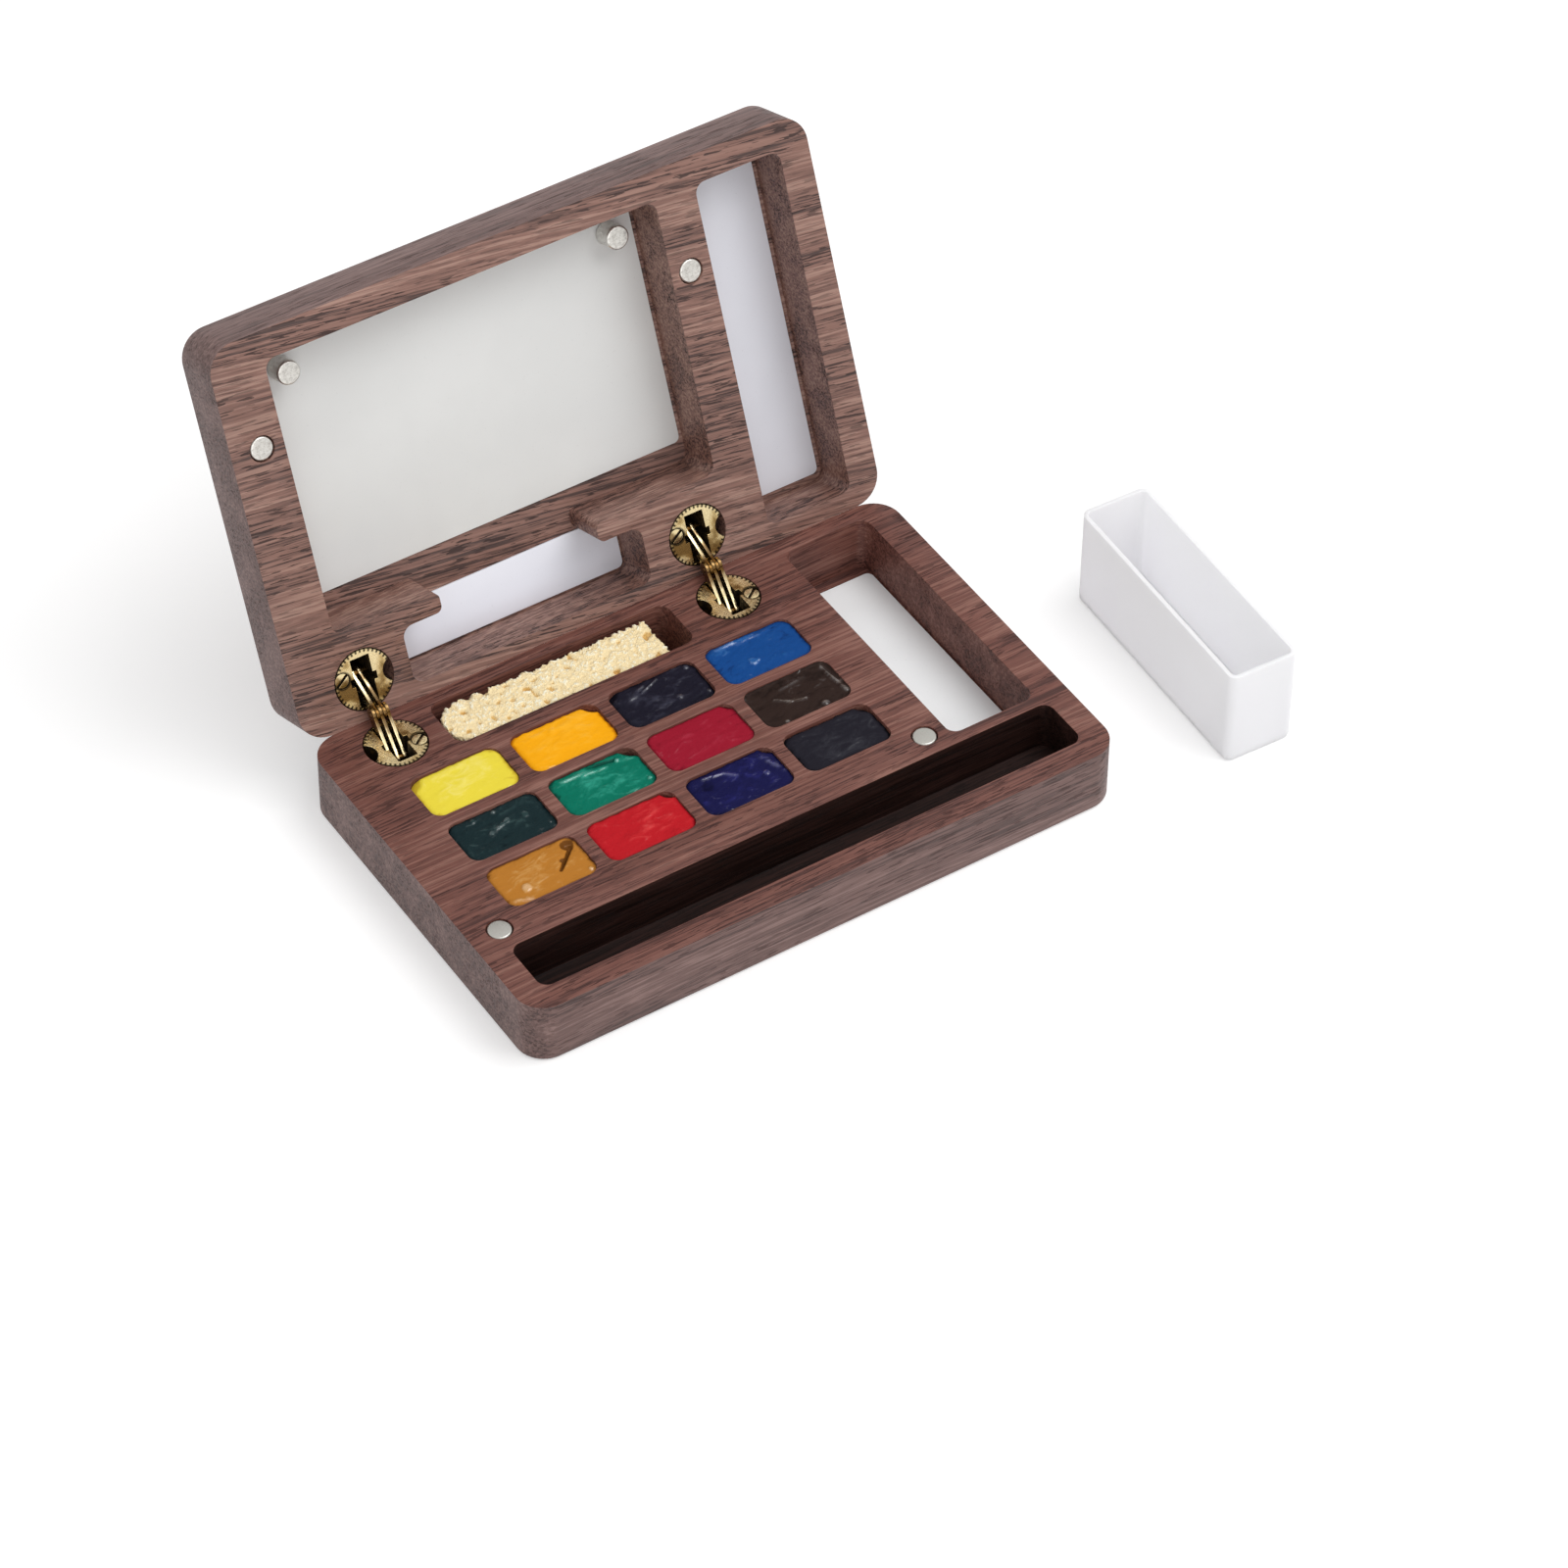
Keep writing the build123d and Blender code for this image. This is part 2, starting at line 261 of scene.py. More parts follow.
def makeStage(settings):
    world = bpy.data.worlds.new("studio")
    bpy.context.scene.world = world
    world.use_nodes = True
    tree = world.node_tree
    backdrop = tree.nodes["Background"]
    backdrop.inputs["Color"].default_value = (1, 1, 1, 1)
    strength = between(tree, seenDirectly(tree), 0, 1, settings["skyOnObject"], 1.0)
    tree.links.new(strength, backdrop.inputs["Strength"])

    deselectAll()
    radius = settings["floorRadius"]
    bpy.ops.mesh.primitive_circle_add(vertices=96, radius=radius, fill_type="NGON")
    floor = bpy.context.object
    floor.name = "floor"
    material = bpy.data.materials.new("paleFloor")
    material.use_nodes = True
    tree = material.node_tree
    tree.nodes.remove(tree.nodes["Principled BSDF"])
    grain = noiseValue(tree, objectPlace(tree), scale=40, detail=4)
    tone = mixColour(tree, grain, settings["floorColour"], settings["floorPale"])
    paint = addNode(tree, "ShaderNodeBsdfDiffuse", {"Color": tone}).outputs[0]
    glow = times(tree, seenDirectly(tree), settings["floorGlow"])
    lit = addNode(tree, "ShaderNodeEmission", {"Strength": glow}).outputs[0]
    both = addNode(tree, "ShaderNodeAddShader", {0: paint, 1: lit}).outputs[0]
    tree.links.new(both, tree.nodes["Material Output"].inputs["Surface"])
    floor.data.materials.append(material)

    for name in ("key", "fill"):
        place = Vector(settings[name + "Place"])
        bpy.ops.object.light_add(type="AREA", location=place)
        lamp = bpy.context.object
        lamp.name = name + "Lamp"
        lamp.data.energy = settings[name + "Power"]
        lamp.data.size = settings[name + "Size"]
        lamp.rotation_euler = place.to_track_quat("Z", "Y").to_euler()

    bpy.context.scene.view_settings.view_transform = "Standard"


makeStage(light)
print("stage ready")


# walnut
walnutTop = {
    "deep": (0.036, 0.0110, 0.0088, 1),
    "mid": (0.150, 0.056, 0.042, 1),
    "pale": (0.250, 0.118, 0.090, 1),
    "figure": 0.75,
    "pores": 0.75,
    "slant": 0.0,
    "specular": 0.30,
}
# outside walls: greyer and paler than the top, partly the wood's end grain and partly a painted
# sheen
walnutSide = {
    "deep": (0.046, 0.022, 0.019, 1),
    "mid": (0.135, 0.071, 0.062, 1),
    "pale": (0.230, 0.140, 0.125, 1),
    "figure": 0.80,
    "pores": 0.70,
    "slant": -0.02,
    "specular": 0.50,
}
# painted shade: a much darker copy of the walnut for the brush slot's inside, where shade falls
walnutPaintedShade = {
    "deep": (0.004, 0.0015, 0.0012, 1),
    "mid": (0.021, 0.0088, 0.0070, 1),
    "pale": (0.050, 0.022, 0.018, 1),
    "figure": 0.75,
    "pores": 0.60,
    "slant": 0.0,
    "specular": 0.16,
}
# the lid's wood: paler than the base's top, partly its own stronger figure and partly a painted
# sheen for the light on its open inner face
walnutLid = {
    "deep": (0.024, 0.0090, 0.0072, 1),
    "mid": (0.205, 0.101, 0.077, 1),
    "pale": (0.345, 0.205, 0.160, 1),
    "figure": 0.80,
    "pores": 0.90,
    "slant": -0.12,
    "specular": 0.55,
}


# straight open grain along X, with dark pores and slow colour bands
def makeWalnutFigure():
    group, given, result = newGroup(
        "walnutFigure",
        [("Vector", "NodeSocketVector", None), ("Deep", "NodeSocketColor", None),
         ("Mid", "NodeSocketColor", None), ("Pale", "NodeSocketColor", None),
         ("Figure", "NodeSocketFloat", 0.5), ("Pores", "NodeSocketFloat", 0.5)],
        [("Colour", "NodeSocketColor"), ("Height", "NodeSocketFloat"),
         ("Open", "NodeSocketFloat")])
    place = given["Vector"]
    sway = noiseValue(group, stretch(group, place, (14, 60, 60)), detail=1)
    drift = times(group, sway, 0.0035)
    aside = addNode(group, "ShaderNodeCombineXYZ", {"Y": drift, "Z": drift}).outputs[0]
    moved = addNode(group, "ShaderNodeVectorMath", {0: place, 1: aside}, operation="ADD")
    swayed = moved.outputs[0]
    bands = noiseValue(group, stretch(group, swayed, (5, 150, 150)), detail=3, roughness=0.55)
    lines = noiseValue(group, stretch(group, swayed, (34, 1500, 1500)), detail=4, roughness=0.7)
    fibres = noiseValue(group, stretch(group, swayed, (110, 3600, 3600)), detail=2)
    vessels = noiseValue(group, stretch(group, swayed, (200, 2500, 2500)), roughness=0.45)
    bandTone = between(group, bands, 0.40, 0.60)
    lineTone = between(group, lines, 0.38, 0.62)
    bandPart = times(group, bandTone, 0.30)
    tone = plus(group, bandPart, times(group, lineTone, 0.70))
    centred = times(group, minus(group, tone, 0.5), given["Figure"])
    colour = mixColour(group, between(group, centred, 0.0, -0.5), given["Mid"], given["Deep"])
    colour = mixColour(group, between(group, centred, 0.0, 0.5), colour, given["Pale"])
    greys = {"Red": fibres, "Green": fibres, "Blue": fibres}
    fibreTone = addNode(group, "ShaderNodeCombineColor", greys).outputs[0]
    colour = mixColour(group, 0.22, colour, fibreTone, blend="OVERLAY")
    openPores = times(group, between(group, vessels, 0.572, 0.600), given["Pores"])
    ringed = times(group, openPores, between(group, bands, 0.62, 0.44, 0.35, 1.0))
    colour = mixColour(group, ringed, colour, given["Deep"])
    height = minus(group, times(group, fibres, 0.25), ringed)
    group.links.new(colour, result["Colour"])
    group.links.new(height, result["Height"])
    group.links.new(ringed, result["Open"])
    return group


walnutFigure = makeWalnutFigure()


def walnutMaterial(name, look, body, offset):
    material, tree, shader = newMaterial(name, Specular_IOR_Level=look["specular"], Coat_Weight=0.0)
    place = objectPlace(tree)
    if body == "lid":
        place = onShutLid(tree, place)
    place = stretch(tree, place, (1, 1, 1), location=offset, rotation=(0, 0, look["slant"]))
    values = {key.title(): look[key] for key in ("deep", "mid", "pale", "figure", "pores")}
    figure = placeGroup(tree, walnutFigure, place, values).outputs
    rough = between(tree, figure["Open"], 0, 1, 0.46, 0.75)
    wire(tree, shader, figure["Colour"], rough, bump(tree, figure["Height"], 0.00006, 0.6))
    return material


blocks = {
    "base": {"node": "base_block", "piece": "walnutBase", "offset": (0.31, 0.02, 0.05),
             "looks": {"top": walnutTop, "side": walnutSide, "paintedShade": walnutPaintedShade}},
    "lid": {"node": "lid_block", "piece": "walnutLid", "offset": (0.77, 0.43, 0.26),
            "looks": {"top": walnutLid, "side": walnutSide, "paintedShade": walnutPaintedShade}},
}
easing = {
    "width": 0.14 * mm,
    "from": math.radians(40),     # edges sharper than this are eased
    "flat": math.radians(0.5),    # faces this close to one plane become one
    "smooth": math.radians(32),
    "seam": 0.5 * mm,             # edges this near the hinge line stay crisp
    "touch": 0.06 * mm,           # rims this near it are drawn together
    "drawn": 0.02,
}


def hingeGap(point):
    return math.hypot(point.y - hingePoint.y, point.z - hingePoint.z)


# a copy of a CAD piece whose sharp edges are eased, in place of the piece
def easedCopy(node, name, width, segments=2):
    deselectAll()
    piece = bpy.data.objects.new(name, frame["nodes"][node].data.copy())
    bpy.context.scene.collection.objects.link(piece)
    piece.data.materials.clear()
    makeActive(piece)
    bpy.ops.object.mode_set(mode="EDIT")
    bpy.ops.mesh.select_all(action="SELECT")
    bpy.ops.mesh.remove_doubles(threshold=0.000002)
    bpy.ops.mesh.dissolve_limited(angle_limit=easing["flat"])
    bpy.ops.mesh.customdata_custom_splitnormals_clear()
    bpy.ops.mesh.select_mode(type="EDGE")
    bpy.ops.mesh.select_all(action="DESELECT")
    bpy.ops.mesh.edges_select_sharp(sharpness=easing["from"])
    bpy.ops.object.mode_set(mode="OBJECT")
    points = piece.data.vertices
    for edge in piece.data.edges:
        if all(hingeGap(points[index].co) < easing["seam"] for index in edge.vertices):
            edge.select = False  # the rims that meet at the seam stay crisp
    if node in ("base_block", "lid_block"):
        for point in points:
            if hingeGap(point.co) < easing["touch"]:
                point.co.yz = hingePoint.yz + (point.co.yz - hingePoint.yz) * easing["drawn"]
    bpy.ops.object.mode_set(mode="EDIT")
    bpy.ops.mesh.bevel(offset=width, segments=segments, profile=0.6, affect="EDGES",
                       clamp_overlap=True)
    bpy.ops.mesh.select_mode(type="VERT")
    bpy.ops.object.mode_set(mode="OBJECT")
    bpy.ops.object.shade_smooth_by_angle(angle=easing["smooth"])
    body = frame["nodes"][node]["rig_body"]
    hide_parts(node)
    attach(piece, body)
    return piece


# where each look of the walnut begins and ends, the slot's painted shade among them
lookAreas = {
    "rim": 2.5 * mm,              # outside walls lie within this of the block's box
    "slotFront": -34.5 * mm,      # brush slot
    "slotBack": -22.7 * mm,
    "slotEnd": 57.6 * mm,
    "underFace": 0.3 * mm,
    "overTable": 1 * mm,
}


# outside walls take the second look, greyer and partly a painted sheen, and the brush slot's inside
# the third, a much darker copy of the walnut as painted shade
def shareOut(piece, body):
    area = lookAreas
    low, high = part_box("base_block")
    rim = area["rim"]
    turnBack = shutTurn if body == "lid" else Matrix.Identity(3)
    for face in piece.data.polygons:
        place = turnBack @ (face.center - hingePoint) + hingePoint
        normal = turnBack @ face.normal
        inX = low.x + rim < place.x < high.x - rim
        inY = low.y + rim < place.y < high.y - rim
        inSlot = area["slotFront"] < place.y < area["slotBack"] and abs(place.x) < area["slotEnd"]
        underFace = abs(place.z - high.z) > area["underFace"] and place.z > area["overTable"]
        if not (inX and inY) and abs(normal.z) < 0.9:
            face.material_index = 1
        elif body == "base" and inSlot and underFace:
            face.material_index = 2


for body, block in blocks.items():
    piece = easedCopy(block["node"], block["piece"], easing["width"])
    for part, look in block["looks"].items():
        name = "walnut_" + body + "_" + part
        piece.data.materials.append(walnutMaterial(name, look, body, block["offset"]))
    shareOut(piece, body)
print("blocks ready")


# poured paints
paintPour = {
    "columns": 112,
    "rows": 68,
    "corner": 2.15 * mm,
    "under": 0.05 * mm,       # the highest a paint may come below the block's face
    "creep": 0.75 * mm,       # how far in from the wall the paint curls
    "gloss": 0.12,
    "sink": 2.4,              # how much of each paint's curl shows at its wall
    "relief": 1.35,
    "wallGap": 0.01 * mm,     # between a paint and its CAD cake's sides
    "faceDrop": 0.025 * mm,   # the block's face under the hinge line
    "footLift": 0.02 * mm,
    "smooth": math.radians(50),
}
# colours are linear; level is the surface under the block's face in mm, wave its unevenness,
# mound how far the middle stands up; marks are domes (x, y, reach, height) and
# strokes (x, y, x2, y2, width, height), in mm from the middle of the well
paints = {
    "yellow": {
        "colour": (0.8, 0.66, 0.055, 1), "pale": (0.9, 0.78, 0.22, 1),
        "dark": (0.62, 0.43, 0.03, 1), "roughness": 0.34, "specular": 0.45,
        "level": 0.28, "mound": 0.16, "wave": 0.05, "curl": -0.12,
        "domes": ((3.5, 2.6, 3.6, 0.1), (-8.9, 5.1, 2.8, -0.6)),
        "strokes": ((-7.4, 3.6, 5.6, 4.5, 0.9, 0.1),)},
    "amber": {
        "colour": (0.9, 0.39, 0.006, 1), "pale": (0.95, 0.48, 0.035, 1),
        "dark": (0.66, 0.22, 0.004, 1), "roughness": 0.32, "specular": 0.45,
        "level": 0.36, "mound": 0.12, "wave": 0.07, "curl": -0.2,
        "domes": ((-1.0, 2.6, 1.1, 0.12), (9.0, 5.2, 2.6, -1.0)),
        "strokes": ((0.4, 2.6, 5.4, 3.4, 0.7, 0.09), (-6.2, 2.9, -2.2, 3.3, 0.5, 0.07))},
    "indigo": {
        "colour": (0.012, 0.011, 0.02, 1), "pale": (0.05, 0.05, 0.075, 1),
        "dark": (0.004, 0.004, 0.008, 1), "roughness": 0.3, "specular": 0.3,
        "level": 0.42, "mound": 0.05, "wave": 0.16, "curl": -0.18,
        "domes": ((2.7, -1.9, 0.8, 0.16), (7.7, 4.1, 0.9, 0.2), (8.2, -3.3, 0.6, 0.16),
                  (-8.6, 5.0, 2.6, -0.55)),
        "strokes": ((-4.4, 2.6, -1.6, 3.9, 0.28, 0.26), (-2.8, 2.4, 1.4, 4.2, 0.22, 0.22),
                    (-5.6, 2.0, -3.4, 2.4, 0.3, 0.18))},
    "blue": {
        "colour": (0.0085, 0.062, 0.24, 1), "pale": (0.035, 0.16, 0.42, 1),
        "dark": (0.004, 0.024, 0.11, 1), "roughness": 0.3, "specular": 0.35,
        "level": 0.32, "mound": 0.08, "wave": 0.1, "curl": -0.1,
        "domes": ((-2.0, -1.5, 1.05, 0.38), (-1.0, -1.6, 0.5, 0.3), (3.9, -3.0, 0.8, 0.12)),
        "strokes": ((-6.4, 4.6, 1.4, 4.6, 0.45, 0.2), (-2.2, 3.9, 4.8, 4.2, 0.35, 0.12))},
    "pine_green": {
        "colour": (0.01, 0.023, 0.026, 1), "pale": (0.045, 0.085, 0.085, 1),
        "dark": (0.003, 0.009, 0.011, 1), "roughness": 0.24, "specular": 0.32,
        "level": 0.4, "mound": 0.06, "wave": 0.14, "curl": -0.15,
        "domes": ((-3.9, 4.1, 0.7, 0.22), (0.4, 4.2, 0.6, 0.2), (1.4, 1.1, 0.75, 0.3),
                  (5.0, 0.6, 0.85, 0.3), (-2.6, -0.5, 0.7, 0.3), (0.2, 0.5, 0.6, 0.24),
                  (7.9, -3.2, 0.5, 0.16)),
        "strokes": ((-2.6, -0.3, 1.2, 0.9, 0.4, 0.18), (-4.2, 1.8, -0.6, 2.2, 0.6, -0.14))},
    "emerald": {
        "colour": (0.0025, 0.155, 0.098, 1), "pale": (0.04, 0.36, 0.26, 1),
        "dark": (0.001, 0.045, 0.03, 1), "roughness": 0.26, "specular": 0.42,
        "level": 0.38, "mound": 0.07, "wave": 0.12, "curl": -0.16,
        "domes": ((5.1, 3.5, 0.6, 0.36), (7.9, -3.6, 0.6, 0.36), (3.1, -1.5, 0.9, 0.14),
                  (9.0, 5.2, 2.7, -1.0)),
        "strokes": ((-6.2, 3.9, -1.4, 3.6, 0.35, 0.26), (-2.2, 3.2, 2.8, 3.0, 0.3, 0.22),
                    (-0.4, 4.7, 4.9, 3.9, 0.45, -0.3))},
    "crimson": {
        "colour": (0.29, 0.01, 0.026, 1), "pale": (0.42, 0.04, 0.07, 1),
        "dark": (0.12, 0.003, 0.01, 1), "roughness": 0.36, "specular": 0.36,
        "level": 0.24, "mound": 0.08, "wave": 0.06, "curl": -0.08,
        "domes": ((9.0, 5.2, 1.9, -0.5),),
        "strokes": ((-6.6, 2.2, 0.8, 1.6, 0.5, 0.07), (1.6, -2.2, 6.6, -1.4, 0.5, 0.05))},
    "umber": {
        "colour": (0.029, 0.017, 0.014, 1), "pale": (0.12, 0.09, 0.075, 1),
        "dark": (0.01, 0.006, 0.005, 1), "roughness": 0.42, "specular": 0.3,
        "level": 0.4, "mound": 0.03, "wave": 0.1, "curl": 0.14,
        "domes": ((3.4, -4.2, 0.9, 0.34), (-5.2, -4.7, 0.6, 0.22), (1.0, -1.4, 0.5, 0.16)),
        "strokes": ((-4.4, 1.2, -1.6, -0.9, 0.26, 0.34), (-1.6, -0.9, 0.9, -1.5, 0.26, 0.3),
                    (7.6, 4.1, 8.4, -3.6, 0.35, 0.3), (-1.9, 3.0, 3.4, 3.6, 0.4, 0.12))},
    "ochre": {
        "colour": (0.44, 0.175, 0.026, 1), "pale": (0.66, 0.38, 0.13, 1),
        "dark": (0.11, 0.038, 0.008, 1), "roughness": 0.32, "specular": 0.4,
        "level": 0.34, "mound": 0.1, "wave": 0.08, "curl": -0.08,
        "domes": ((7.3, 3.4, 1.5, -0.75), (-4.2, -1.9, 1.15, 0.34), (7.9, -4.0, 0.7, 0.22),
                  (4.6, 0.6, 0.8, -0.35)),
        "strokes": ((7.4, 2.4, 3.2, -1.4, 0.3, -0.85), (-7.8, -3.6, -4.6, -4.6, 0.4, 0.16))},
    "red": {
        "colour": (0.46, 0.0115, 0.018, 1), "pale": (0.68, 0.06, 0.06, 1),
        "dark": (0.23, 0.004, 0.008, 1), "roughness": 0.33, "specular": 0.38,
        "level": 0.28, "mound": 0.08, "wave": 0.09, "curl": -0.1,
        "domes": ((9.0, 5.2, 2.2, -0.9), (3.0, -2.2, 1.3, 0.08)),
        "strokes": ((0.6, 1.0, 5.8, 2.2, 0.45, 0.1), (-3.6, -1.4, 2.6, -1.0, 0.5, 0.08))},
    "ultramarine": {
        "colour": (0.0085, 0.0085, 0.055, 1), "pale": (0.022, 0.022, 0.15, 1),
        "dark": (0.003, 0.003, 0.022, 1), "roughness": 0.26, "specular": 0.34,
        "level": 0.36, "mound": 0.07, "wave": 0.12, "curl": -0.12,
        "domes": ((5.4, -0.5, 0.75, 0.36), (-5.6, 2.2, 2.1, -0.16), (9.0, 5.2, 2.0, -0.5)),
        "strokes": ((-5.4, 4.3, -1.4, 3.4, 0.32, 0.24), (-1.4, 3.4, 0.4, 1.8, 0.35, 0.18),
                    (6.6, 3.8, 8.4, -1.4, 0.5, 0.16))},
    "black": {
        "colour": (0.015, 0.0138, 0.02, 1), "pale": (0.04, 0.04, 0.05, 1),
        "dark": (0.004, 0.004, 0.006, 1), "roughness": 0.46, "specular": 0.28,
        "level": 0.4, "mound": 0.03, "wave": 0.06, "curl": -0.3,
        "domes": ((9.0, 5.2, 2.6, -0.7),),
        "strokes": ((-5.6, 0.8, 4.6, 1.6, 0.5, 0.05),)},
}


# a square's point moved to the rounded well: its place, and 0 at the middle to 1 at the wall
def towardsWall(u, v, halfWidth, halfLength, corner):
    ring = max(abs(u), abs(v))
    if ring < 0.000001:
        return 0.0, 0.0, 0.0
    x = abs(u / ring) * halfWidth
    y = abs(v / ring) * halfLength
    overX = x - (halfWidth - corner)
    overY = y - (halfLength - corner)
    if overX > 0 and overY > 0:
        reach = math.hypot(overX, overY)
        x = halfWidth - corner + overX * corner / reach
        y = halfLength - corner + overY * corner / reach
    return math.copysign(x * ring, u), math.copysign(y * ring, v), ring


def strokeHeight(x, y, stroke):
    x1, y1, x2, y2, width, height = stroke
    runX, runY = x2 - x1, y2 - y1
    along = ((x - x1) * runX + (y - y1) * runY) / (runX ** 2 + runY ** 2)
    along = min(1.0, max(0.0, along))
    off = math.hypot(x - x1 - along * runX, y - y1 - along * runY) / width
    taper = 0.45 + 0.55 * math.sin(math.pi * min(1.0, max(0.0, along * 0.86 + 0.07)))
    return height * taper * math.exp(-off * off)


def domeHeight(x, y, dome):
    x1, y1, reach, height = dome
    off = math.hypot(x - x1, y - y1) / reach
    return height * (1 - off * off) ** 1.5 if off < 1 else 0.0


# height in mm over the block's face, at a place in mm from the middle of the well
def paintSurface(x, y, ring, toWall, look, seed):
    place = Vector((x * 0.16 + seed * 7.3, y * 0.24 - seed * 3.1, seed * 5.7))
    swell = noise.fractal(place, 0.9, 2.1, 4)
    drag = noise.noise(Vector((x * 0.30 + y * 0.14 + seed, y * 1.0 - x * 0.30, seed * 2.0)))
    fine = noise.noise(Vector((x * 1.5, y * 2.2, seed * 9.0)))
    height = -look["level"] + look["mound"] * (1 - ring * ring)
    marks = sum(domeHeight(x, y, dome) for dome in look["domes"])
    marks += sum(strokeHeight(x, y, stroke) for stroke in look["strokes"])
    height += paintPour["relief"] * (look["wave"] * (swell + 0.5 * drag + 0.25 * fine) + marks)
    edge = max(0.0, 1 - toWall / (paintPour["creep"] / mm))
    ragged = 0.7 + 0.6 * noise.noise(Vector((x * 0.8, y * 0.8, seed * 4.0)))
    return height + paintPour["sink"] * look["curl"] * edge * edge * ragged


# bubbles and raised smears dry glossy
def wetMarks(x, y, look):
    marks = [domeHeight(x, y, dome) for dome in look["domes"] if dome[3] > 0.15]
    marks += [strokeHeight(x, y, stroke) for stroke in look["strokes"] if stroke[5] > 0.11]
    return min(1.0, sum(max(0.0, mark) for mark in marks) * 5)


def pourPaint(name, look, seed):
    low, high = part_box("paint_" + name)
    middle = (low + high) / 2
    halfWidth = (high.x - low.x) / 2 - paintPour["wallGap"]
    halfLength = (high.y - low.y) / 2 - paintPour["wallGap"]
    deselectAll()
    bpy.ops.mesh.primitive_grid_add(x_subdivisions=paintPour["columns"],
                                    y_subdivisions=paintPour["rows"], size=2)
    piece = bpy.context.object
    piece.name = "poured_" + name
    faceHeight = hingePoint.z - paintPour["faceDrop"]
    heights = []  # height, distance to the wall and wetness of each point
    for point in piece.data.vertices:
        u, v = point.co.x, point.co.y
        u = math.copysign(1 - (1 - abs(u)) ** 1.25, u)  # closer together at the walls
        v = math.copysign(1 - (1 - abs(v)) ** 1.25, v)
        x, y, ring = towardsWall(u, v, halfWidth, halfLength, paintPour["corner"])
        toWall = (1 - ring) * halfLength / mm
        height = paintSurface(x / mm, y / mm, ring, toWall, look, seed)
        height = min(height, -paintPour["under"] / mm)
        point.co = (middle.x + x, middle.y + y, faceHeight + height * mm)
        heights.append((height, toWall, wetMarks(x / mm, y / mm, look)))
    makeActive(piece)
    bpy.ops.object.mode_set(mode="EDIT")
    bpy.ops.mesh.select_all(action="DESELECT")
    bpy.ops.mesh.select_mode(type="EDGE")
    bpy.ops.mesh.select_non_manifold(extend=False)
    bpy.ops.mesh.extrude_region_move(TRANSFORM_OT_translate={"value": (0, 0, -4 * mm)})
    bpy.ops.object.mode_set(mode="OBJECT")
    for point in piece.data.vertices:
        if point.select:
            point.co.z = low.z + paintPour["footLift"]
    bpy.ops.object.mode_set(mode="EDIT")
    bpy.ops.mesh.extrude_region_move(TRANSFORM_OT_translate={"value": (0, 0, 0)})
    bpy.ops.mesh.merge(type="CENTER")  # the underside, closed on its middle
    bpy.ops.mesh.select_all(action="SELECT")
    bpy.ops.mesh.normals_make_consistent(inside=False)
    bpy.ops.mesh.select_mode(type="VERT")
    bpy.ops.object.mode_set(mode="OBJECT")
    bpy.ops.object.shade_smooth_by_angle(angle=paintPour["smooth"])
    average = sum(entry[0] for entry in heights) / len(heights)
    heights += [(average, 0.0, 0.0)] * (len(piece.data.vertices) - len(heights))
    shade = piece.data.attributes.new("surface", "FLOAT_COLOR", "POINT")
    for index, (height, toWall, wet) in enumerate(heights):
        proud = min(1.0, max(0.0, 0.5 + (height - average) * 1.6))
        shade.data[index].color = (proud, max(0.0, 1 - toWall / 0.9), wet, 1)
    piece.data.materials.append(paintMaterial("paint_" + name, look, seed))
    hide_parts("paint_" + name)
    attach(piece, "base")
    return piece


# streaks and pooling of thick paint, with painted light: proud places paler and low places darker,
# partly the paint's thickness and partly painted highlight and shade; walls darker, partly pooled
# paint and partly the well wall's painted shade
def makePaintTones():
    group, given, result = newGroup(
        "paintTones",
        [("Vector", "NodeSocketVector", None), ("Surface", "NodeSocketColor", None),
         ("Colour", "NodeSocketColor", None), ("Pale", "NodeSocketColor", None),
         ("Dark", "NodeSocketColor", None)],
        [("Colour", "NodeSocketColor"), ("Height", "NodeSocketFloat"),
         ("Streak", "NodeSocketFloat")])
    place = given["Vector"]
    parts = addNode(group, "ShaderNodeSeparateColor", {"Color": given["Surface"]}).outputs
    dragged = stretch(group, place, (210, 420, 420), rotation=(0, 0, 0.25))
    smear = noiseValue(group, dragged, detail=5, roughness=0.62, distortion=1.6)
    cloud = noiseValue(group, place, scale=240, detail=3)
    grit = noiseValue(group, place, scale=2600)
    streaks = times(group, minus(group, smear, 0.5), 1.15)
    proud = plus(group, parts["Red"], streaks)
    raised = times(group, between(group, proud, 0.60, 1.00), 0.60)
    sunk = times(group, between(group, proud, 0.45, 0.08), 0.85)
    colour = mixColour(group, raised, given["Colour"], given["Pale"])
    colour = mixColour(group, sunk, colour, given["Dark"])
    patches = between(group, cloud, 0.35, 0.6, 0.5, 1.0)
    # darker along the walls: pooled paint and the painted shade of the well's wall
    pooledAndWallShade = times(group, between(group, parts["Green"], 0.55, 1.0), patches)
    colour = mixColour(group, times(group, pooledAndWallShade, 0.80), colour, given["Dark"])
    height = plus(group, times(group, smear, 0.7), times(group, grit, 0.12))
    group.links.new(colour, result["Colour"])
    group.links.new(height, result["Height"])
    group.links.new(smear, result["Streak"])
    return group


paintTones = makePaintTones()


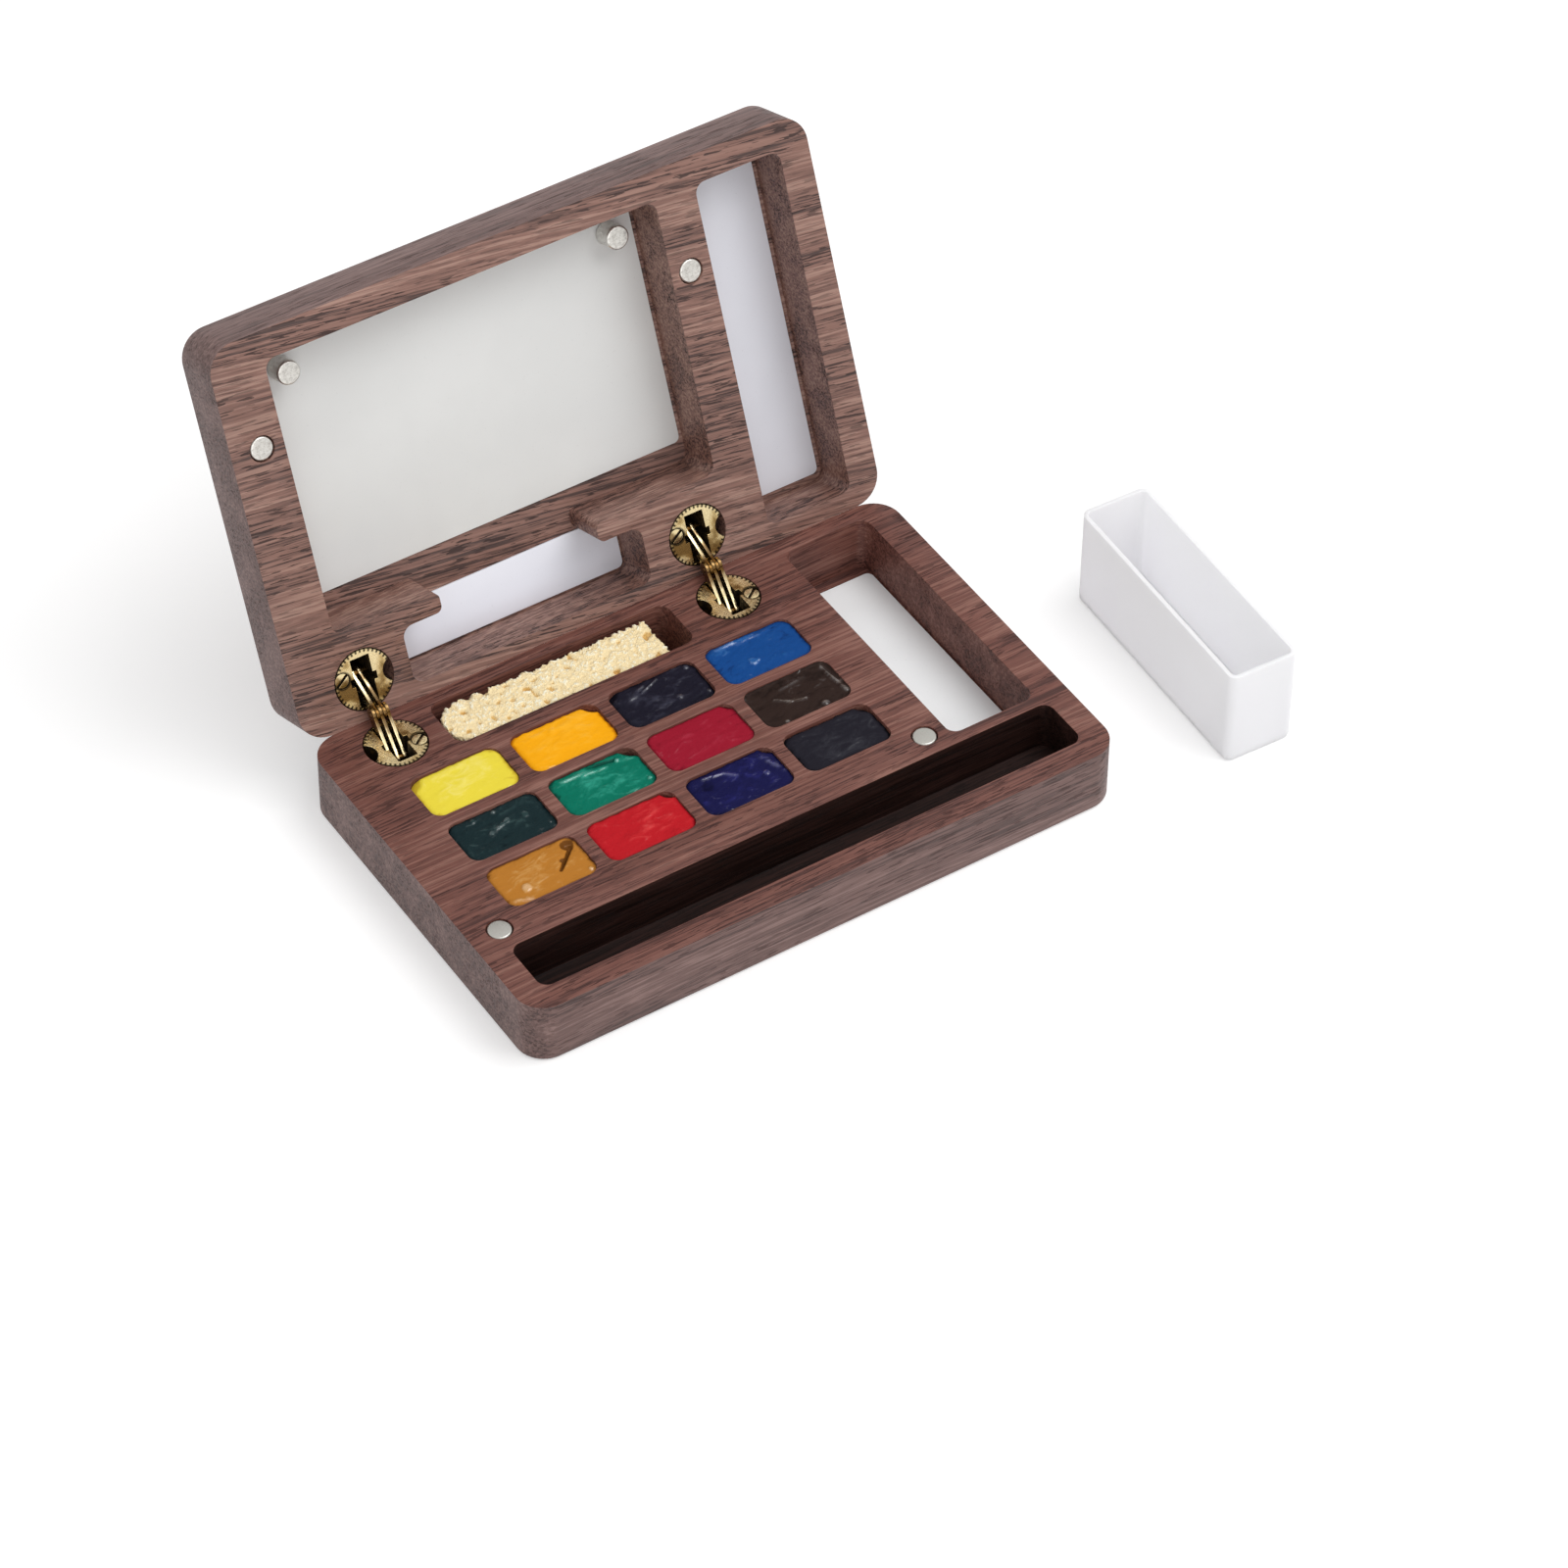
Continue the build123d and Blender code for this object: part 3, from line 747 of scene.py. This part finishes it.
def paintMaterial(name, look, seed):
    specular = look["specular"] * paintPour["gloss"]
    material, tree, shader = newMaterial(name, Specular_IOR_Level=specular, Coat_IOR=1.9,
                                         Coat_Roughness=0.10)
    place = stretch(tree, objectPlace(tree), (1, 1, 1), location=(seed * 0.13, seed * 0.07, 0))
    surface = addNode(tree, "ShaderNodeAttribute", attribute_name="surface").outputs["Color"]
    values = {key.title(): look[key] for key in ("colour", "pale", "dark")}
    tones = placeGroup(tree, paintTones, place, values)
    tree.links.new(surface, tones.inputs["Surface"])
    streak = tones.outputs["Streak"]
    wet = addNode(tree, "ShaderNodeSeparateColor", {"Color": surface}).outputs["Blue"]
    glossy = times(tree, wet, between(tree, streak, 0.38, 0.58))
    thin = times(tree, between(tree, streak, 0.62, 0.68), 0.28)
    tree.links.new(doMath(tree, "MAXIMUM", glossy, thin), shader.inputs["Coat Weight"])
    matt, sleek = look["roughness"] + 0.12, look["roughness"] - 0.05
    rough = between(tree, streak, 0.3, 0.7, matt, sleek)
    relief = bump(tree, tones.outputs["Height"], 0.00018, 0.8)
    wire(tree, shader, tones.outputs["Colour"], rough, relief)
    return material


for number, (name, look) in enumerate(paints.items()):
    pourPaint(name, look, number + 1)
print("paints poured")


# sponge strip: cut foam, crumbled along its back edge
foam = {
    "cell": 0.24 * mm,
    # bright crumb tops are a painted highlight; tan pits are partly the foam's own colour and
    # partly painted shade
    "cream": (0.95, 0.77, 0.45, 1),
    "bright": (0.99, 0.93, 0.72, 1),
    "tan": (0.66, 0.38, 0.09, 1),
    "back": 1.25 * mm,        # how far the torn back edge stays from the slot's wall
    "rounded": 4.2 * mm,      # the left end
    "rise": 0.42 * mm,        # top over the CAD solid's, still under the block's face
    "margin": 0.15 * mm,      # room for the crumbs over the block that they start from
    "cutEdge": 0.5 * mm,
    "crumb": (1.15, 0.52),    # how close together, and how high in mm
    "grain": (2.9, 0.22),
    "swell": (0.45, 0.10),
}


# a block at its size and place, its left end rounded
def spongeBlock(low, high):
    top = high.z + foam["rise"] - foam["margin"]
    first = Vector((low.x, low.y, low.z + 0.1 * mm))
    last = Vector((high.x, high.y - foam["back"], top))
    deselectAll()
    bpy.ops.mesh.primitive_cube_add(size=1, location=(first + last) / 2, scale=last - first)
    piece = bpy.context.object
    piece.name = "spongeStrip"
    bpy.ops.object.transform_apply(location=True, rotation=False, scale=True)
    bpy.ops.object.mode_set(mode="EDIT")
    bpy.ops.mesh.select_mode(type="EDGE")
    bpy.ops.mesh.select_all(action="DESELECT")
    bpy.ops.object.mode_set(mode="OBJECT")
    for edge in piece.data.edges:
        one, two = (piece.data.vertices[index].co for index in edge.vertices)
        edge.select = max(one.x, two.x) < low.x + 0.1 * mm and abs(one.z - two.z) > mm
    bpy.ops.object.mode_set(mode="EDIT")
    bpy.ops.mesh.bevel(offset=foam["rounded"], segments=8, affect="EDGES")
    bpy.ops.mesh.select_mode(type="VERT")
    bpy.ops.object.mode_set(mode="OBJECT")
    return piece


def bumpOf(place, lump, middle):
    pitch, height = lump
    return height * (middle - noise.voronoi(place * pitch)[0][0])


def tornEdge(place):
    large = noise.noise(Vector((place.x * 0.9, 2.0, place.z * 0.5)))
    small = noise.noise(Vector((place.x * 2.4, 7.0, place.z)))
    return 0.75 * large + 0.35 * small


def makeSponge():
    low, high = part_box("sponge")
    piece = spongeBlock(low, high)
    eased = piece.modifiers.new("eased", "BEVEL")
    eased.width = foam["cutEdge"]
    eased.segments = 3
    eased.limit_method = "ANGLE"
    eased.angle_limit = math.radians(60)
    cells = piece.modifiers.new("cells", "REMESH")
    cells.mode = "VOXEL"
    cells.voxel_size = foam["cell"]
    applyModifiers(piece)
    normals = [point.normal.copy() for point in piece.data.vertices]
    hollowShades = []
    for point, normal in zip(piece.data.vertices, normals):
        place = point.co / mm
        warped = place + 0.9 * noise.noise_vector(place * 0.8)
        warped += 0.3 * noise.noise_vector(place * 2.4)
        crumb = bumpOf(warped, foam["crumb"], 0.5) + bumpOf(warped, foam["grain"], 0.45)
        broad = foam["swell"][1] * noise.noise(place * foam["swell"][0])
        pit = max(0.0, noise.noise(place * 0.70 + Vector((9.2, 3.1, 4.4))) - 0.30) * 1.9
        deep = max(0.0, noise.noise(place * 2.3 + Vector((1.2, 8.1, 2.4))) - 0.46)
        torn = tornEdge(place) if point.co.y > high.y - foam["back"] - 1.2 * mm else 0.0
        point.co += normal * (crumb + broad - pit - deep) * mm
        point.co.y += max(-0.6, torn) * mm
        point.co.z = min(point.co.z, high.z + foam["rise"])
        point.co.x = min(max(point.co.x, low.x), high.x)
        point.co.y = min(max(point.co.y, low.y), high.y)
        point.co.z = max(point.co.z, low.z)
        # painted light: paler on crumbs, darker in pits and deep holes
        hollowShades.append(min(1.0, max(0.0, 0.30 - crumb * 1.5 + pit * 1.8 + deep * 1.4)))
    shade = piece.data.attributes.new("hollowShade", "FLOAT_COLOR", "POINT")
    for index, hollowShade in enumerate(hollowShades):
        shade.data[index].color = (hollowShade, 0, 0, 1)
    makeActive(piece)
    bpy.ops.object.shade_smooth()
    return piece


def foamMaterial():
    material, tree, shader = newMaterial("spongeFoam", Specular_IOR_Level=0.25, Sheen_Weight=0.15)
    place = objectPlace(tree)
    hollowShade = addNode(tree, "ShaderNodeAttribute", attribute_name="hollowShade").outputs["Color"]
    deep = addNode(tree, "ShaderNodeSeparateColor", {"Color": hollowShade}).outputs["Red"]
    mottle = noiseValue(tree, place, scale=900, detail=4, roughness=0.65)
    cellNode = addNode(tree, "ShaderNodeTexVoronoi", {"Vector": place, "Scale": 3200})
    cells = cellNode.outputs["Distance"]
    depth = plus(tree, deep, times(tree, minus(tree, mottle, 0.5), 0.7))
    # painted highlight on the crumbs and painted shade in the pits, partly the foam's own tan
    colour = mixColour(tree, between(tree, depth, 0.34, 0.10), foam["cream"], foam["bright"])
    colour = mixColour(tree, between(tree, depth, 0.62, 1.15), colour, foam["tan"])
    relief = bump(tree, plus(tree, mottle, times(tree, cells, 0.6)), 0.0003, 0.9)
    wire(tree, shader, colour, between(tree, cells, 0, 0.6, 0.95, 0.75), relief)
    return material


spongeStrip = makeSponge()
spongeStrip.data.materials.append(foamMaterial())
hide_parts("sponge")
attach(spongeStrip, "base")
print("sponge ready", len(spongeStrip.data.polygons))


# enamelled plates
plates = {
    # the cup's plate is whiter than the lid's plates of the same white enamel: painted light
    # against the shade of its deep well
    "cup_plate": {"piece": "cupPlate", "slot": "white_enamel",
                  "colour": (0.955, 0.975, 0.985, 1)},
    "lid_side_plate": {"piece": "sidePlate", "slot": "white_enamel",
                       "colour": (0.76, 0.77, 0.83, 1)},
    "lid_recess_plate": {"piece": "recessPlate", "slot": "white_enamel",
                         "colour": (0.80, 0.81, 0.88, 1)},
    "mixing_plate": {"piece": "mixingPlate", "slot": "grey_enamel",
                     "colour": (0.72, 0.725, 0.715, 1)},
}
enamel = {"edge": 0.09 * mm, "speck": (0.30, 0.30, 0.31, 1), "thin": 0.96}


def enamelMaterial(name, colour):
    material, tree, shader = newMaterial(name, Specular_IOR_Level=0.5, Coat_Weight=0.0)
    place = objectPlace(tree)
    pool = noiseValue(tree, place, scale=45, detail=3)
    speck = noiseValue(tree, place, scale=2400)
    dark = tuple(value * enamel["thin"] for value in colour[:3]) + (1,)
    tone = mixColour(tree, between(tree, pool, 0.35, 0.65), dark, colour)
    specks = times(tree, between(tree, speck, 0.66, 0.76), 0.10)
    tone = mixColour(tree, specks, tone, enamel["speck"])
    peel = plus(tree, noiseValue(tree, place, scale=420), times(tree, speck, 0.25))
    rough = between(tree, pool, 0.3, 0.7, 0.30, 0.42)
    wire(tree, shader, tone, rough, bump(tree, peel, 0.00004, 0.35))
    return material


for node, plate in plates.items():
    piece = easedCopy(node, plate["piece"], enamel["edge"])
    piece.data.materials.append(enamelMaterial("enamel_" + plate["piece"], plate["colour"]))
print("plates ready")


# nickel-plated magnets
magnetLook = {
    "nickel": (0.66, 0.64, 0.60, 1),
    "worn": (0.42, 0.40, 0.37, 1),
    "lidReflection": (0.44, 0.435, 0.40, 1),
    "rim": (0.85, 0.84, 0.80, 1),
    "edge": 0.10 * mm,
}


# object coordinates measured from a centre, turned to the shut lid for its pieces
def shutPlace(tree, centre, body):
    place = objectPlace(tree)
    if body == "lid":
        place = onShutLid(tree, place)
        centre = shutTurn @ (centre - hingePoint) + hingePoint
    return stretch(tree, place, (1, 1, 1), location=-centre)


# distance from the upright axis, and the turn about it
def roundAbout(tree, place):
    parts = addNode(tree, "ShaderNodeSeparateXYZ", {0: place}).outputs
    squares = [times(tree, parts[axis], parts[axis]) for axis in ("X", "Y")]
    radius = doMath(tree, "SQRT", plus(tree, *squares))
    return radius, doMath(tree, "ARCTAN2", parts["Y"], parts["X"])


def nickelMaterial(name, centre, body):
    material, tree, shader = newMaterial(name, Metallic=1.0)
    place = shutPlace(tree, centre, body)
    radius, _ = roundAbout(tree, place)
    scuff = noiseValue(tree, place, scale=1500, detail=4, roughness=0.7)
    scratch = noiseValue(tree, stretch(tree, place, (900, 7000, 900), rotation=(0, 0, 0.7)))
    wear = plus(tree, times(tree, scuff, 0.7), times(tree, scratch, 0.3))
    # the base's magnets take a darker grey, a painted reflection of the lid over them
    plain, rimShare = ("lidReflection", 0.1) if body == "base" else ("nickel", 0.5)
    worn = between(tree, wear, 0.42, 0.66)
    tone = mixColour(tree, worn, magnetLook[plain], magnetLook["worn"])
    rim = times(tree, between(tree, radius, 0.00195, 0.0022), rimShare)
    tone = mixColour(tree, rim, tone, magnetLook["rim"])
    rough = between(tree, wear, 0.35, 0.7, 0.26, 0.48)
    wire(tree, shader, tone, rough, bump(tree, wear, 0.00003, 0.5))
    return material


def nodeCentre(node):
    low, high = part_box(node)
    return (low + high) / 2


for side in sides:
    for node in ("base_magnet_" + side, "lid_magnet_" + side, "paper_magnet_" + side):
        first, second = node.split("_")[:2]
        piece = easedCopy(node, first + second.title() + side.title(), magnetLook["edge"])
        body = "base" if first == "base" else "lid"
        piece.data.materials.append(nickelMaterial("nickel_" + node, nodeCentre(node), body))
print("magnets ready")


# brass hinges: barrels let into the wood, their clamp screws, slide pins and leaves
brass = {
    "gold": (0.60, 0.42, 0.165, 1),
    "bright": (0.93, 0.77, 0.44, 1),
    "leaf": (0.80, 0.66, 0.40, 1),
    "brown": (0.155, 0.078, 0.020, 1),
    "black": (0.020, 0.014, 0.008, 1),
    "insideShade": (0.10, 0.062, 0.02, 1),
    "edge": 0.07 * mm,
    "teeth": 40,
    "screwSpots": {"base": (-4.2 * mm, 1.3 * mm, 0), "lid": (4.2 * mm, 1.3 * mm, 0)},
    "barrelInside": (0.25 * mm, 5.6 * mm),   # how deep it starts, and its reach from the axis
    "screwInside": (0.2 * mm, 1.38 * mm),
}


# painted shade: dark notches round a barrel's rim and a dark ring at its edge, and the dark ring
# round its clamp screw
def barrelShade(tree, tone, place, screwSpot):
    radius, turn = roundAbout(tree, place)
    teeth = doMath(tree, "COSINE", times(tree, turn, brass["teeth"]))
    notched = between(tree, radius, 0.0051, 0.00545)
    notches = times(tree, between(tree, teeth, 0.3, -0.5), notched)
    rim = doMath(tree, "MAXIMUM", notches, between(tree, radius, 0.00560, 0.00585))
    tone = mixColour(tree, times(tree, rim, 0.93), tone, brass["black"])
    toScrew, _ = roundAbout(tree, stretch(tree, place, (1, 1, 1), location=screwSpot))
    outer = between(tree, toScrew, 0.0020, 0.0016)
    ring = times(tree, outer, between(tree, toScrew, 0.0011, 0.00135))
    return mixColour(tree, times(tree, ring, 0.9), tone, brass["black"])


# yellow brass, turned in fine rings on a barrel or screw, or drawn along a leaf or pin, with broad
# pale and brown patches as painted reflection
def brassMaterial(name, centre, body, turned=True, gold="gold", screwSpot=None):
    material, tree, shader = newMaterial(name, Metallic=1.0)
    place = shutPlace(tree, centre, body)
    if turned:
        radius, _ = roundAbout(tree, place)
        outwards = addNode(tree, "ShaderNodeCombineXYZ", {"X": times(tree, radius, 5200)})
        rings = noiseValue(tree, outwards.outputs[0], detail=3, roughness=0.7)
    else:
        drawn = stretch(tree, place, (3500, 500, 500))
        rings = noiseValue(tree, drawn, detail=3, roughness=0.6)
    # broad pale and brown patches stand in for bright and dark surroundings mirrored in the brass:
    # painted reflection
    paintedReflection = noiseValue(tree, place, scale=170, detail=3, roughness=0.5)
    scuff = noiseValue(tree, place, scale=2600, detail=3)
    shine = plus(tree, times(tree, rings, 0.35), times(tree, paintedReflection, 0.65))
    tone = mixColour(tree, between(tree, shine, 0.56, 0.44), brass[gold], brass["bright"])
    darkReflection = times(tree, between(tree, paintedReflection, 0.50, 0.62), 0.85)
    tone = mixColour(tree, darkReflection, tone, brass["brown"])
    if screwSpot:
        tone = barrelShade(tree, tone, place, screwSpot)
    # painted shade: darker brown round the axis, where the leaves meet at the knuckle
    elif not turned:
        across = stretch(tree, place, (0, 1, 1))
        length = addNode(tree, "ShaderNodeVectorMath", {0: across}, operation="LENGTH")
        axisShade = between(tree, length.outputs["Value"], 0.0023, 0.0015)
        tone = mixColour(tree, times(tree, axisShade, 0.92), tone, brass["brown"])
    relief = bump(tree, plus(tree, rings, times(tree, scuff, 0.4)), 0.00003, 0.4)
    wire(tree, shader, tone, between(tree, scuff, 0.3, 0.7, 0.18, 0.34), relief)
    return material


# painted shade: a dark copy of the brass for the inside of the milled slots
def makeInsideShadeBrass():
    material, tree, shader = newMaterial("brassInsideShade", Metallic=0.6, Specular_IOR_Level=0.2)
    shadeMottle = noiseValue(tree, objectPlace(tree), scale=900, detail=4)
    tone = mixColour(tree, between(tree, shadeMottle, 0.45, 0.75), brass["black"], brass["insideShade"])
    rough = between(tree, shadeMottle, 0.3, 0.7, 0.7, 0.5)
    wire(tree, shader, tone, rough, bump(tree, shadeMottle, 0.00005, 0.4))
    return material


insideShadeBrass = makeInsideShadeBrass()


# faces deeper than depth under the top, within reach of the axis, take the dark brass, a painted
# shade
def darkenInside(piece, node, body, inside):
    depth, reach = inside
    piece.data.materials.append(insideShadeBrass)
    centre = nodeCentre(node)
    turnBack = shutTurn if body == "lid" else Matrix.Identity(3)
    places = [turnBack @ (face.center - centre) for face in piece.data.polygons]
    upwards = -1 if body == "lid" else 1
    top = max(place.z * upwards for place in places)
    for face, place in zip(piece.data.polygons, places):
        if place.z * upwards < top - depth and math.hypot(place.x, place.y) < reach:
            face.material_index = 1


def dressBrass(node, name, body, pivot, segments=2, **finish):
    piece = easedCopy(node, name, brass["edge"], segments)
    finished = brassMaterial("brass_" + node, nodeCentre(pivot), body, **finish)
    piece.data.materials.append(finished)
    return piece


for side in sides:
    end = side.title()
    knuckle = "knuckle_pin_" + side
    for body, leaves in (("base", 3), ("lid", 2)):
        node = body + "_barrel_" + side
        piece = dressBrass(node, body + "Barrel" + end, body, node, 1,
                           screwSpot=brass["screwSpots"][body])
        darkenInside(piece, node, body, brass["barrelInside"])
        node = body + "_clamp_screw_" + side
        piece = dressBrass(node, body + "Screw" + end, body, node, gold="bright")
        darkenInside(piece, node, body, brass["screwInside"])
        node = body + "_slide_pin_" + side
        piece = dressBrass(node, body + "SlidePin" + end, body, node, turned=False)
        for index in range(1, leaves + 1):
            node = "%s_leaf_%s_%d" % (body, side, index)
            piece = dressBrass(node, "%sLeaf%s%d" % (body, end, index), body, knuckle,
                               turned=False, gold="leaf")
    piece = dressBrass(knuckle, "knucklePin" + end, "base", knuckle, turned=False)
print("hinges ready")


# water cup of milky plastic
cup = {
    "milk": (0.955, 0.94, 0.985, 1),
    "clear": (0.975, 0.97, 0.995, 1),
    "edge": 0.18 * mm,
}


def cupMaterial():
    material, tree, shader = newMaterial(
        "milkyPlastic", Specular_IOR_Level=0.45, Subsurface_Weight=0.7, Subsurface_Scale=0.010,
        Subsurface_Radius=(1.0, 1.0, 1.0))
    place = objectPlace(tree)
    flow = noiseValue(tree, stretch(tree, place, (30, 60, 18)), detail=3)
    haze = noiseValue(tree, place, scale=1400, detail=3)
    tone = mixColour(tree, between(tree, flow, 0.35, 0.65), cup["milk"], cup["clear"])
    rough = between(tree, haze, 0.35, 0.7, 0.34, 0.46)
    wire(tree, shader, tone, rough, bump(tree, haze, 0.00002, 0.3))
    return material


piece = easedCopy("water_cup", "waterCup", cup["edge"], 3)
piece.data.materials.append(cupMaterial())
print("cup ready")
